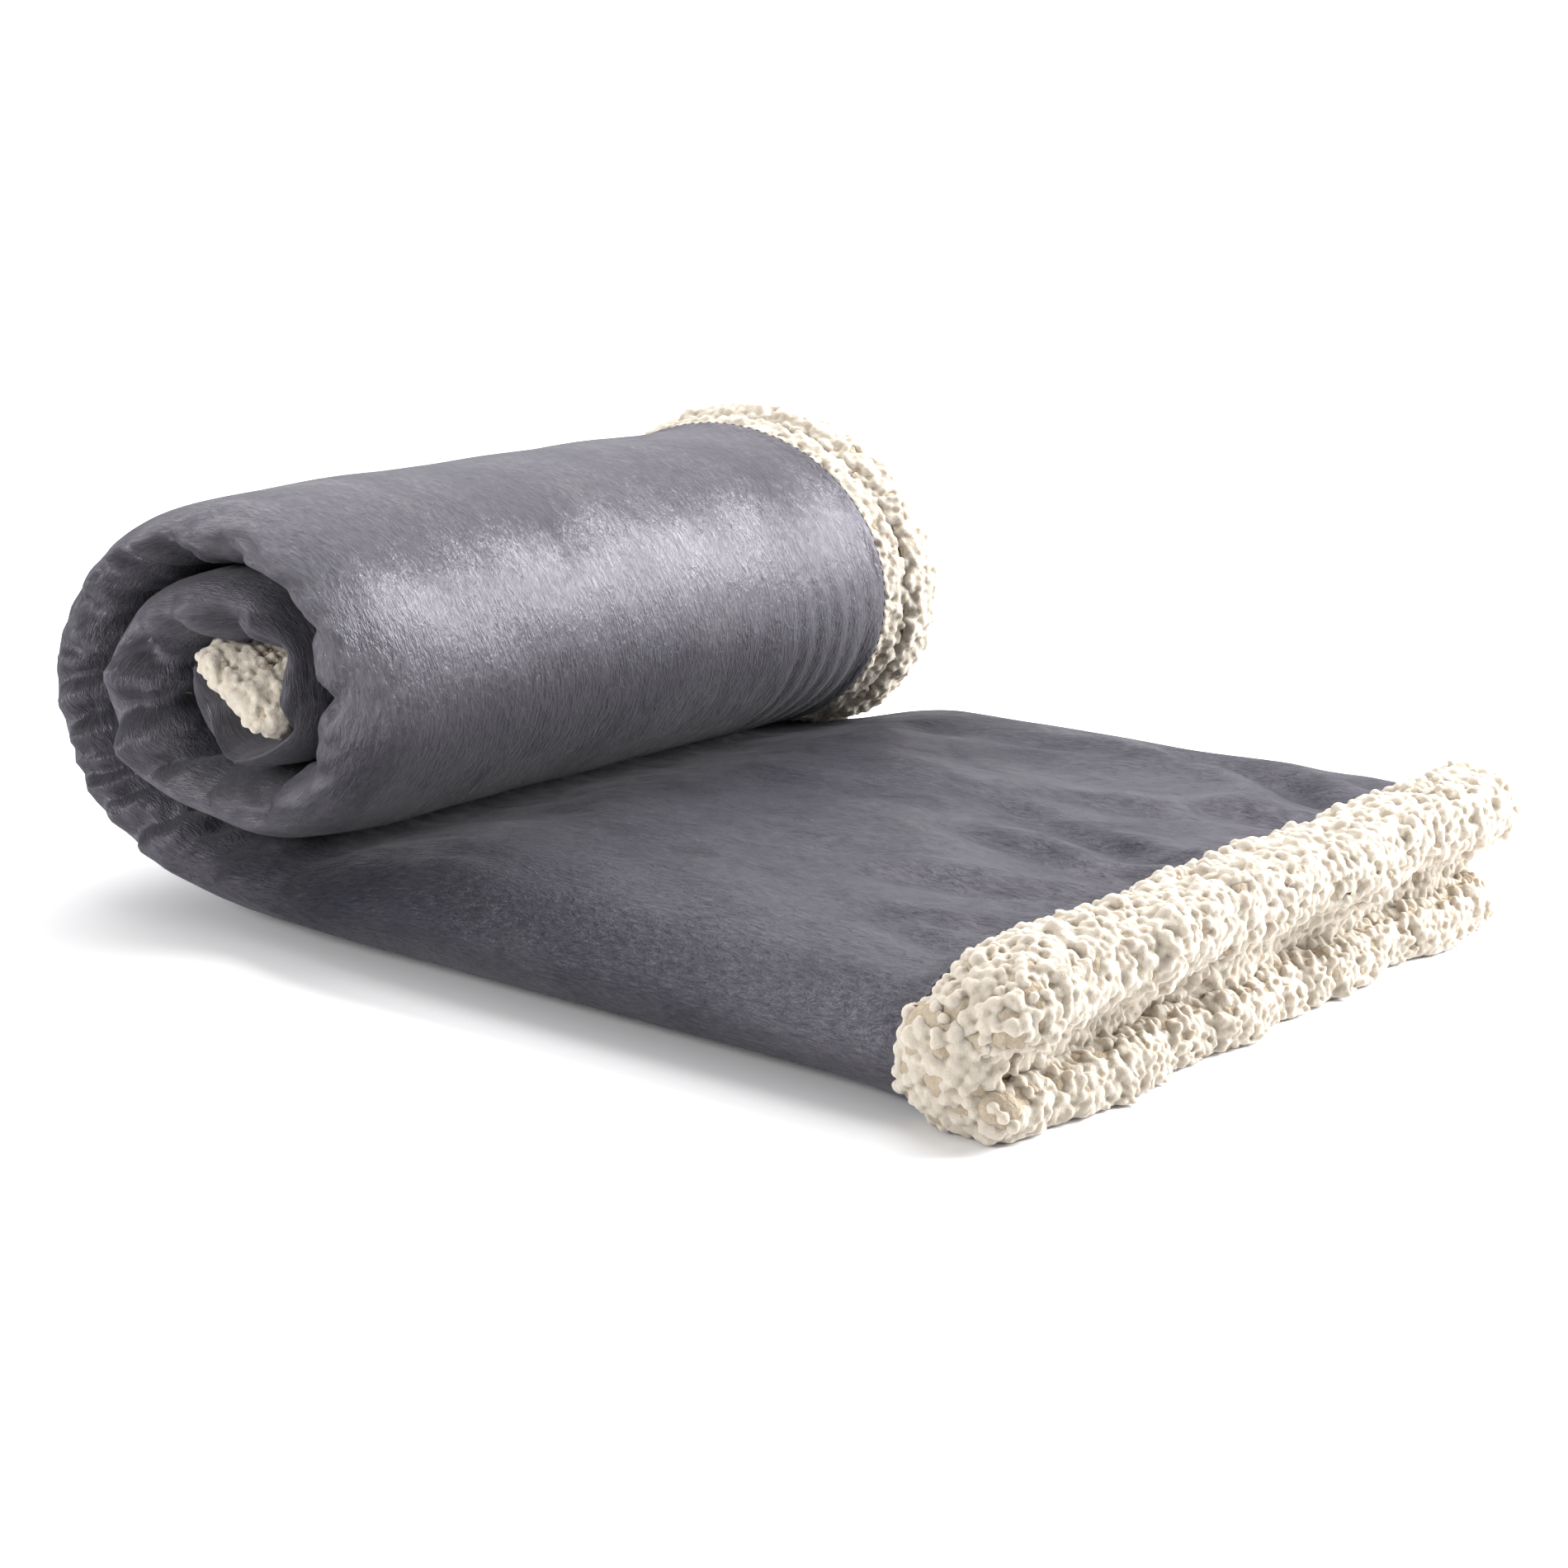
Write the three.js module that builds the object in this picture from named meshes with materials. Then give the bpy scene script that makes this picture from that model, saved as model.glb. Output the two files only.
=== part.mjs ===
// Throw blanket: a plush sheet lined with sherpa, folded in four along its
// length and rolled up towards its own free end.
// Millimetres, +Z up, standing on z = 0, centred on its box in X and Y.
// X runs from the roll to the free end, Y runs along the roll's axis.
import * as THREE from "three";

// ---- driving dimensions ----
const STRIP_WIDTH = 370; // folded width: a quarter of the 60 in side, less the folds
const FLAT_LENGTH = 349; // from under the roll's centre to the free end
const ROLL_RADIUS = 89.2; // height of the roll's centre
const ROLL_WIDEN = 13.3; // the roll lies this much wider, on each side, than a circle
const PITCH_OUTSIDE = 35.9; // radial step of one turn, at the outside
const PITCH_CORE = 27.5; // and at the core, where the layers are squeezed
const TURNS = 2;
const PLUSH = 2.2; // thickness of the plush face, lying loose
const SHERPA = 9; // thickness of the sherpa back, lying loose
const GAP = 0.5; // between plush and sherpa
const LAYER_GAP = 0.6; // between two layers of the folded blanket
const BORDER = 33; // width of the sherpa turned over on the plush side
const THREAD = 1.4; // width of the seam's thread
const FREE_END_SWELL = 0.08; // the free end is this much thicker than the loose stack
const UNDER_ROLL = 0.675; // the stack's thickness under the roll, against loose
const CORE_SQUEEZE = 0.17; // and this much less again at the core
const LOOSE_FROM = 105; // distance from the roll's centre where the stack lies loose
const SPLAY_NEAR = 12; // the free end reaches this much further out than the roll, near side
const SPLAY_FAR = 5; // and far side
const ROLL_STEP = 20; // degrees between two sections of the roll
const COLOURS = { plush: 0x5d5f63, sherpa: 0xe9e1d2, thread: 0x4a4b4e };

const LAMINATE = PLUSH + GAP + SHERPA;
const STACK = 4 * LAMINATE + 3 * LAYER_GAP;
const PHI_END = TURNS * 2 * Math.PI;

// ---- the folded cross-section ----
// u runs over the blanket's whole width, from the lowest layer's far edge to
// the third layer's far edge. Each entry is a point (y, n) on the sherpa's
// plush side and the unit direction (my, mn) towards the plush.
const yNear = -STRIP_WIDTH / 2 + STACK / 2;
const yFar = STRIP_WIDTH / 2;
const loop = LAMINATE + LAYER_GAP / 2;
const yLoop = yFar - loop;
const rOuter = STACK / 2 - PLUSH - GAP;
const rLoop = SHERPA + LAYER_GAP / 2;
const rInner = LAYER_GAP / 2 + PLUSH + GAP;

const spans = [];
let uEnd = 0;
function straight(y0, y1, n, mn) {
  const length = Math.abs(y1 - y0);
  spans.push({
    from: uEnd,
    to: uEnd + length,
    at: (d) => [y0 + (Math.sign(y1 - y0) * d), n, 0, mn],
    steps: 1,
  });
  uEnd += length;
}
function bend(yc, nc, r, from, to, outward, steps) {
  const turn = to - from;
  const length = Math.abs(turn) * r;
  spans.push({
    from: uEnd,
    to: uEnd + length,
    at: (d) => {
      const a = from + (turn * d) / length;
      const c = Math.cos(a);
      const s = Math.sin(a);
      return [yc + r * c, nc + r * s, c * outward, s * outward];
    },
    steps,
  });
  uEnd += length;
}
const H = Math.PI / 2;
straight(yFar, yNear, PLUSH + GAP, -1); // layer 4, on the ground
bend(yNear, STACK / 2, rOuter, -H, -3 * H, 1, 6); // near fold round the whole stack
straight(yNear, yLoop, STACK - PLUSH - GAP, 1); // layer 1, on top
bend(yLoop, STACK - loop, rLoop, H, -H, 1, 4); // far loop
straight(yLoop, yNear, STACK - loop - rLoop, -1); // layer 2
bend(yNear, STACK / 2, rInner, H, 3 * H, -1, 4); // near fold inside the first
straight(yNear, yFar, STACK / 2 - rInner, 1); // layer 3
const U = uEnd;

function section(u, w) {
  let span = spans.find((s) => u <= s.to + 1e-9);
  if (!span) span = spans[spans.length - 1];
  const [y, n, my, mn] = span.at(Math.max(0, u - span.from));
  return [y + w * my, n + w * mn];
}

// ---- the path of the strip: flat, then a spiral ----
// v is the length along the strip's lower side, from the free end.
const drop = (phi) =>
  (PITCH_OUTSIDE * phi +
    ((PITCH_CORE - PITCH_OUTSIDE) * phi * phi) / (2 * PHI_END)) /
  (2 * Math.PI);
const rollPoint = (phi, n) => {
  const r = ROLL_RADIUS - drop(phi) - n;
  return [-(r + ROLL_WIDEN) * Math.sin(phi), ROLL_RADIUS - r * Math.cos(phi)];
};
const lengths = [0];
const FINE = 4000;
for (let i = 1; i <= FINE; i++) {
  const a = rollPoint((PHI_END * (i - 1)) / FINE, 0);
  const b = rollPoint((PHI_END * i) / FINE, 0);
  lengths.push(lengths[i - 1] + Math.hypot(b[0] - a[0], b[1] - a[1]));
}
const ROLLED = lengths[FINE];
const V = FLAT_LENGTH + ROLLED;
function phiAt(v) {
  const want = v - FLAT_LENGTH;
  let lo = 0;
  let hi = FINE;
  while (hi - lo > 1) {
    const mid = (lo + hi) >> 1;
    if (lengths[mid] <= want) lo = mid;
    else hi = mid;
  }
  const part = (want - lengths[lo]) / (lengths[hi] - lengths[lo]);
  return (PHI_END * (lo + part)) / FINE;
}
const smooth = (t) => {
  const c = Math.min(1, Math.max(0, t));
  return c * c * (3 - 2 * c);
};
function thickness(v) {
  if (v < FLAT_LENGTH)
    return (
      UNDER_ROLL +
      (1 - UNDER_ROLL) * smooth((FLAT_LENGTH - v - 25) / (LOOSE_FROM - 25)) +
      FREE_END_SWELL * (1 - smooth((v - BORDER * 0.6) / BORDER))
    );
  return UNDER_ROLL - (CORE_SQUEEZE * phiAt(v)) / PHI_END;
}
function point(u, v, w) {
  const [y, n] = section(u, w);
  const k = thickness(v);
  const share = (y + STRIP_WIDTH / 2) / STRIP_WIDTH;
  const out = Math.max(0, 1 - v / FLAT_LENGTH);
  const splay = out * (SPLAY_FAR * share - SPLAY_NEAR * (1 - share));
  if (v <= FLAT_LENGTH) return [FLAT_LENGTH - v, y + splay, n * k];
  const [x, z] = rollPoint(phiAt(v), n * k);
  return [x, y, z];
}

// ---- sections ----
const EDGE = { rim: BORDER, wall: BORDER + 0.6, t0: BORDER + 1, t1: BORDER + 1 + THREAD, plush: BORDER + THREAD + 1.4 };
const uniq = (list) =>
  [...list].sort((a, b) => a - b).filter((x, i, all) => i === 0 || x - all[i - 1] > 1e-6);
function vLines() {
  const out = [];
  for (const f of [0, 0.33, 0.66]) out.push(f * BORDER);
  for (const d of [50, 64, 90, 160, 244, 262, 280, 298, 312, 324]) out.push(d);
  const turns = (360 / ROLL_STEP) * TURNS;
  for (let i = 0; i <= turns; i++) {
    const phi = (PHI_END * i) / turns;
    const f = (FINE * i) / turns;
    out.push(FLAT_LENGTH + lengths[Math.round(f)]);
  }
  const near = Object.values(EDGE);
  const keep = out.filter(
    (v) => v === 0 || v > V - 1e-6 || near.every((e) => Math.abs(v - e) > 3 && Math.abs(V - v - e) > 3),
  );
  for (const e of near) keep.push(e, V - e);
  return uniq(keep);
}
function uLines() {
  const out = [0, U];
  for (const s of spans)
    for (let i = 0; i <= s.steps; i++)
      out.push(s.from + ((s.to - s.from) * i) / s.steps);
  for (const e of Object.values(EDGE)) out.push(e, U - e);
  return uniq(out);
}
const VL = vLines();
const UL = uLines();
const within = (list, lo, hi) => list.filter((x) => x >= lo - 1e-6 && x <= hi + 1e-6);

// A closed sheet between two heights over a grid of u and v lines.
function sheet(us, vs, low, high) {
  const nu = us.length;
  const nv = vs.length;
  const pos = [];
  for (const height of [high, low])
    for (const v of vs) for (const u of us) pos.push(...point(u, v, height(u, v)));
  const id = (side, i, j) => side * nu * nv + j * nu + i;
  const tri = [];
  const quad = (a, b, c, d) => tri.push(a, b, c, a, c, d);
  for (let j = 0; j + 1 < nv; j++)
    for (let i = 0; i + 1 < nu; i++) {
      quad(id(0, i, j), id(0, i + 1, j), id(0, i + 1, j + 1), id(0, i, j + 1));
      quad(id(1, i, j), id(1, i, j + 1), id(1, i + 1, j + 1), id(1, i + 1, j));
    }
  for (let i = 0; i + 1 < nu; i++) {
    quad(id(0, i + 1, 0), id(0, i, 0), id(1, i, 0), id(1, i + 1, 0));
    quad(id(0, i, nv - 1), id(0, i + 1, nv - 1), id(1, i + 1, nv - 1), id(1, i, nv - 1));
  }
  for (let j = 0; j + 1 < nv; j++) {
    quad(id(0, 0, j), id(0, 0, j + 1), id(1, 0, j + 1), id(1, 0, j));
    quad(id(0, nu - 1, j + 1), id(0, nu - 1, j), id(1, nu - 1, j), id(1, nu - 1, j + 1));
  }
  // The faces point out when the enclosed volume is positive.
  let volume = 0;
  for (let t = 0; t < tri.length; t += 3) {
    const [a, b, c] = [tri[t], tri[t + 1], tri[t + 2]].map((k) => pos.slice(3 * k, 3 * k + 3));
    volume +=
      a[0] * (b[1] * c[2] - b[2] * c[1]) -
      a[1] * (b[0] * c[2] - b[2] * c[0]) +
      a[2] * (b[0] * c[1] - b[1] * c[0]);
  }
  if (volume < 0) for (let t = 0; t < tri.length; t += 3) [tri[t + 1], tri[t + 2]] = [tri[t + 2], tri[t + 1]];
  const g = new THREE.BufferGeometry();
  g.setAttribute("position", new THREE.Float32BufferAttribute(pos, 3));
  g.setIndex(tri);
  return g;
}

// ---- the pieces ----
const inBorder = (u, v) => {
  const e = Math.min(u, U - u, v, V - v);
  return e < BORDER + 0.3;
};
const noThread = (x, all) => {
  const e = Math.min(x, all - x);
  return e < BORDER + 0.8 || e > EDGE.plush - 1e-3;
};
const sherpa = sheet(
  UL.filter((u) => noThread(u, U) && Math.abs(Math.min(u, U - u) - EDGE.plush) > 1e-3),
  VL,
  () => -SHERPA,
  (u, v) => (inBorder(u, v) ? GAP + PLUSH : 0),
);
const plush = sheet(
  within(UL, EDGE.plush, U - EDGE.plush),
  within(VL, EDGE.plush, V - EDGE.plush),
  () => GAP,
  () => GAP + PLUSH,
);
const threadLow = () => 0.35;
const threadHigh = () => 1.35;
const alongU = within(UL, EDGE.plush + 0.001, U - EDGE.plush - 0.001);
const thread = {
  free_end: sheet(alongU, [EDGE.t0, EDGE.t1], threadLow, threadHigh),
  inner_end: sheet(alongU, [V - EDGE.t1, V - EDGE.t0], threadLow, threadHigh),
  side_lower: sheet([EDGE.t0, EDGE.t1], within(VL, EDGE.t0, V - EDGE.t0), threadLow, threadHigh),
  side_upper: sheet([U - EDGE.t1, U - EDGE.t0], within(VL, EDGE.t0, V - EDGE.t0), threadLow, threadHigh),
};

const cloth = (color) => new THREE.MeshStandardMaterial({ color, roughness: 0.95, metalness: 0 });
const blanket = new THREE.Group();
function add(name, geometry, color) {
  geometry.computeVertexNormals();
  const mesh = new THREE.Mesh(geometry, cloth(color));
  mesh.name = name;
  blanket.add(mesh);
}
add("plush_face", plush, COLOURS.plush);
add("sherpa_back", sherpa, COLOURS.sherpa);
add("thread_free_end", thread.free_end, COLOURS.thread);
add("thread_inner_end", thread.inner_end, COLOURS.thread);
add("thread_side_lower", thread.side_lower, COLOURS.thread);
add("thread_side_upper", thread.side_upper, COLOURS.thread);

// The origin: the middle of the object's box, on the ground.
const box = new THREE.Box3().setFromObject(blanket);
blanket.position.set(-(box.min.x + box.max.x) / 2, -(box.min.y + box.max.y) / 2, 0);

export default blanket;
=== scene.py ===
import math

import bpy
import numpy as np
from mathutils import Matrix, Vector


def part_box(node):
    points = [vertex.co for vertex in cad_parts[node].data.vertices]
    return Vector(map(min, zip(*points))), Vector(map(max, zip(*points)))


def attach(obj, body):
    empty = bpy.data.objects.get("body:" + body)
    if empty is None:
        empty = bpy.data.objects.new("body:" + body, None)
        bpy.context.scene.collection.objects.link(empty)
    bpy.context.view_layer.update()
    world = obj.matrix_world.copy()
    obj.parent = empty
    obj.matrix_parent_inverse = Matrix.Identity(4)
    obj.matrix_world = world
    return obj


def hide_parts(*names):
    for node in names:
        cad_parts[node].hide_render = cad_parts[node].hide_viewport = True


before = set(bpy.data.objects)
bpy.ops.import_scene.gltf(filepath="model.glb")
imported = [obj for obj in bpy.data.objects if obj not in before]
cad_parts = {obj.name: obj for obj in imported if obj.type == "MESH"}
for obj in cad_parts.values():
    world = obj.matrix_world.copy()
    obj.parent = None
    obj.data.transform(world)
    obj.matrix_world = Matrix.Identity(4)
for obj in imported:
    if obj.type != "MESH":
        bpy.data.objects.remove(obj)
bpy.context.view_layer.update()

rng = np.random.default_rng(60750)

# ------------------------------------------------------------------ frame
# Driving sizes, in metres. They are the solids' own, so that every piece lies
# where its solid does.
WIDTH = 0.370
FLAT = 0.349
R0 = 0.0892
WIDEN = 0.0133
PITCH_OUT = 0.0359
PITCH_CORE = 0.0275
TURNS = 2.0
PLUSH = 0.0022
SHERPA = 0.0090
GAP = 0.0005
LAYER_GAP = 0.0006
BORDER = 0.033
UNDER = 0.675
SQUEEZE = 0.17
LOOSE = 0.105
SPLAY_NEAR = 0.012
SPLAY_FAR = 0.005
END_SWELL = 0.08
LAM = PLUSH + GAP + SHERPA
STACK = 4 * LAM + 3 * LAYER_GAP
PHI_END = TURNS * 2 * math.pi

back_lo, back_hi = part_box("sherpa_back")
X_SHIFT = back_hi[0] - FLAT
Y_SHIFT = back_lo[1] + WIDTH / 2 + SPLAY_NEAR

# ------------------------------------------------------- folded section
Y_NEAR = -WIDTH / 2 + STACK / 2
Y_FAR = WIDTH / 2
LOOP = LAM + LAYER_GAP / 2
Y_LOOP = Y_FAR - LOOP
R_OUT = STACK / 2 - PLUSH - GAP
R_LOOP = SHERPA + LAYER_GAP / 2
R_IN = LAYER_GAP / 2 + PLUSH + GAP
H = math.pi / 2

SPANS = []


def _straight(y0, y1, n, mn):
    a = SPANS[-1]["to"] if SPANS else 0.0
    SPANS.append(dict(kind="s", a=a, to=a + abs(y1 - y0), y0=y0, s=np.sign(y1 - y0), n=n, mn=mn))


def _bend(yc, nc, r, f, t, out):
    a = SPANS[-1]["to"]
    SPANS.append(dict(kind="b", a=a, to=a + abs(t - f) * r, yc=yc, nc=nc, r=r, f=f, t=t, out=out))


_straight(Y_FAR, Y_NEAR, PLUSH + GAP, -1)
_bend(Y_NEAR, STACK / 2, R_OUT, -H, -3 * H, 1)
_straight(Y_NEAR, Y_LOOP, STACK - PLUSH - GAP, 1)
_bend(Y_LOOP, STACK - LOOP, R_LOOP, H, -H, 1)
_straight(Y_LOOP, Y_NEAR, STACK - LOOP - R_LOOP, -1)
_bend(Y_NEAR, STACK / 2, R_IN, H, 3 * H, -1)
_straight(Y_NEAR, Y_FAR, STACK / 2 - R_IN, 1)
U = SPANS[-1]["to"]
U_A = [s["a"] for s in SPANS] + [U]   # where each span starts


def section(u, w):
    """The folded section: (y, n) of the point at u, raised w towards the plush."""
    u = np.asarray(u, float)
    w = np.asarray(w, float)
    y = np.zeros(np.broadcast(u, w).shape)
    n = np.zeros_like(y)
    u = np.broadcast_to(u, y.shape)
    w = np.broadcast_to(w, y.shape)
    for k, s in enumerate(SPANS):
        m = (u >= s["a"] - 1e-12) & (u <= s["to"] + (1e-9 if k == len(SPANS) - 1 else 0)) if k == len(SPANS) - 1 else (u >= s["a"] - 1e-12) & (u < s["to"])
        d = u[m] - s["a"]
        if s["kind"] == "s":
            y[m] = s["y0"] + s["s"] * d
            n[m] = s["n"] + s["mn"] * w[m]
        else:
            L = s["to"] - s["a"]
            a = s["f"] + (s["t"] - s["f"]) * d / L
            c, q = np.cos(a), np.sin(a)
            y[m] = s["yc"] + (s["r"] + w[m] * s["out"]) * c
            n[m] = s["nc"] + (s["r"] + w[m] * s["out"]) * q
    return y, n


# ------------------------------------------------------------ strip's path
def drop(phi):
    return (PITCH_OUT * phi + (PITCH_CORE - PITCH_OUT) * phi * phi / (2 * PHI_END)) / (2 * math.pi)


_N = 6000
_phi = np.linspace(0, PHI_END, _N + 1)
_r = R0 - drop(_phi)
_x = -(_r + WIDEN) * np.sin(_phi)
_z = R0 - _r * np.cos(_phi)
_len = np.concatenate([[0], np.cumsum(np.hypot(np.diff(_x), np.diff(_z)))])
ROLLED = _len[-1]
V = FLAT + ROLLED


def phi_at(v):
    return np.interp(np.asarray(v) - FLAT, _len, _phi)


def v_at(phi):
    return FLAT + np.interp(phi, _phi, _len)


def smooth(t):
    c = np.clip(t, 0, 1)
    return c * c * (3 - 2 * c)


def bump(x, lo, hi, soft):
    """1 between lo and hi, falling to 0 over soft outside them."""
    return smooth((x - lo + soft) / soft) * smooth((hi + soft - x) / soft)


def thickness(v):
    v = np.asarray(v, float)
    flat = UNDER + (1 - UNDER) * smooth((FLAT - v - 0.025) / (LOOSE - 0.025)) + END_SWELL * (1 - smooth((v - BORDER * 0.6) / BORDER))
    roll = UNDER - SQUEEZE * phi_at(v) / PHI_END
    return np.where(v < FLAT, flat, roll)


def place(y, n, v):
    """Strip coordinates (y across, n up through the stack, v along) to the object's frame."""
    y, n, v = np.broadcast_arrays(np.asarray(y, float), np.asarray(n, float), np.asarray(v, float))
    k = thickness(v)
    share = (y + WIDTH / 2) / WIDTH
    out = np.clip(1 - v / FLAT, 0, 1.2)
    yy = y + out * (SPLAY_FAR * share - SPLAY_NEAR * (1 - share))
    phi = phi_at(np.maximum(v, FLAT))
    r = R0 - drop(phi) - n * k
    x = np.where(v <= FLAT, FLAT - v, -(r + WIDEN) * np.sin(phi))
    z = np.where(v <= FLAT, n * k, R0 - r * np.cos(phi))
    return np.stack([x + X_SHIFT, yy + Y_SHIFT, z], -1)


# ---------------------------------------------------------------- noise
def waves(a, b, size, seed, n=7):
    """Smooth noise of about -1..1 over two lengths, with features of the given size."""
    g = np.random.default_rng(seed)
    out = np.zeros(np.broadcast(a, b).shape)
    for i in range(n):
        t = g.uniform(0, 2 * math.pi)
        f = 2 * math.pi / size * g.uniform(0.55, 1.25)
        out = out + np.sin(f * (a * math.cos(t) + b * math.sin(t)) + g.uniform(0, 2 * math.pi))
    return out / math.sqrt(n / 2) / 1.5


# ------------------------------------------------- the cloth's own relief
# Creases of the flat stretch: ends (x, y) from under the roll's middle,
# depth, half-width, and the height of the ridge beside it.
FLAT_CREASES = [
    ((0.262, -0.121), (0.322, -0.108), 0.0032, 0.0055, 0.0022),
    ((0.222, -0.076), (0.318, -0.060), 0.0040, 0.0060, 0.0030),
    ((0.283, -0.084), (0.322, -0.066), 0.0022, 0.0040, 0.0012),
    ((0.130, 0.074), (0.300, 0.018), -0.0036, 0.0100, 0.0),
    ((0.180, 0.052), (0.318, 0.002), 0.0034, 0.0080, 0.0016),
    ((0.222, 0.170), (0.318, 0.124), 0.0060, 0.0080, 0.0030),
    ((0.190, 0.160), (0.292, 0.106), -0.0042, 0.0110, 0.0),
    ((0.215, -0.010), (0.318, -0.026), 0.0034, 0.0060, 0.0026),
    ((0.200, 0.062), (0.262, 0.070), 0.0022, 0.0070, 0.0014),
    ((0.236, -0.122), (0.314, -0.145), 0.0026, 0.0060, 0.0016),
    ((0.268, 0.178), (0.322, 0.150), 0.0030, 0.0050, 0.0016),
    ((0.262, 0.086), (0.322, 0.078), 0.0040, 0.0060, 0.0024),
    ((0.090, 0.130), (0.190, 0.150), 0.0022, 0.0100, 0.0010),
    ((0.080, -0.090), (0.170, -0.110), 0.0016, 0.0110, 0.0010),
]

# Puckers round the roll's folded end: angle from the ground (degrees, running
# on through the second turn), depth, half-width, lean, reach on the outside.
PUCKERS = [
    (14, 0.0030, 0.0050, 0.004, 0.040),
    (31, 0.0042, 0.0040, -0.004, 0.036),
    (45, 0.0030, 0.0038, 0.003, 0.022),
    (57, 0.0052, 0.0034, 0.002, 0.028),
    (65, 0.0046, 0.0030, -0.002, 0.022),
    (75, 0.0058, 0.0036, 0.002, 0.030),
    (88, 0.0064, 0.0042, 0.003, 0.034),
    (98, 0.0046, 0.0034, -0.004, 0.024),
    (114, 0.0056, 0.0050, 0.003, 0.034),
    (128, 0.0050, 0.0044, -0.005, 0.030),
    (143, 0.0062, 0.0050, 0.004, 0.032),
    (160, 0.0070, 0.0060, -0.006, 0.034),
    (186, 0.0050, 0.0070, 0.008, 0.030),
    (214, 0.0030, 0.0070, 0.006, 0.026),
    (238, 0.0036, 0.0060, -0.006, 0.020),
    (262, 0.0058, 0.0050, 0.006, 0.020),
    (300, 0.0026, 0.0080, 0.004, 0.026),
    (338, 0.0040, 0.0070, -0.004, 0.024),
    (368, 0.0052, 0.0060, 0.003, 0.030),
    (396, 0.0078, 0.0060, -0.006, 0.030),
    (424, 0.0092, 0.0070, 0.004, 0.032),
    (458, 0.0100, 0.0085, -0.006, 0.034),
    (489, 0.0066, 0.0060, 0.005, 0.030),
    (520, 0.0080, 0.0070, 0.004, 0.030),
    (556, 0.0070, 0.0070, -0.004, 0.026),
    (600, 0.0060, 0.0060, 0.004, 0.024),
    (648, 0.0060, 0.0060, 0.004, 0.024),
]


def across(u):
    """How far u lies past the middle of the near fold, in metres (negative on layer 4)."""
    return u - (U_A[1] + U_A[2]) / 2


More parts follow.
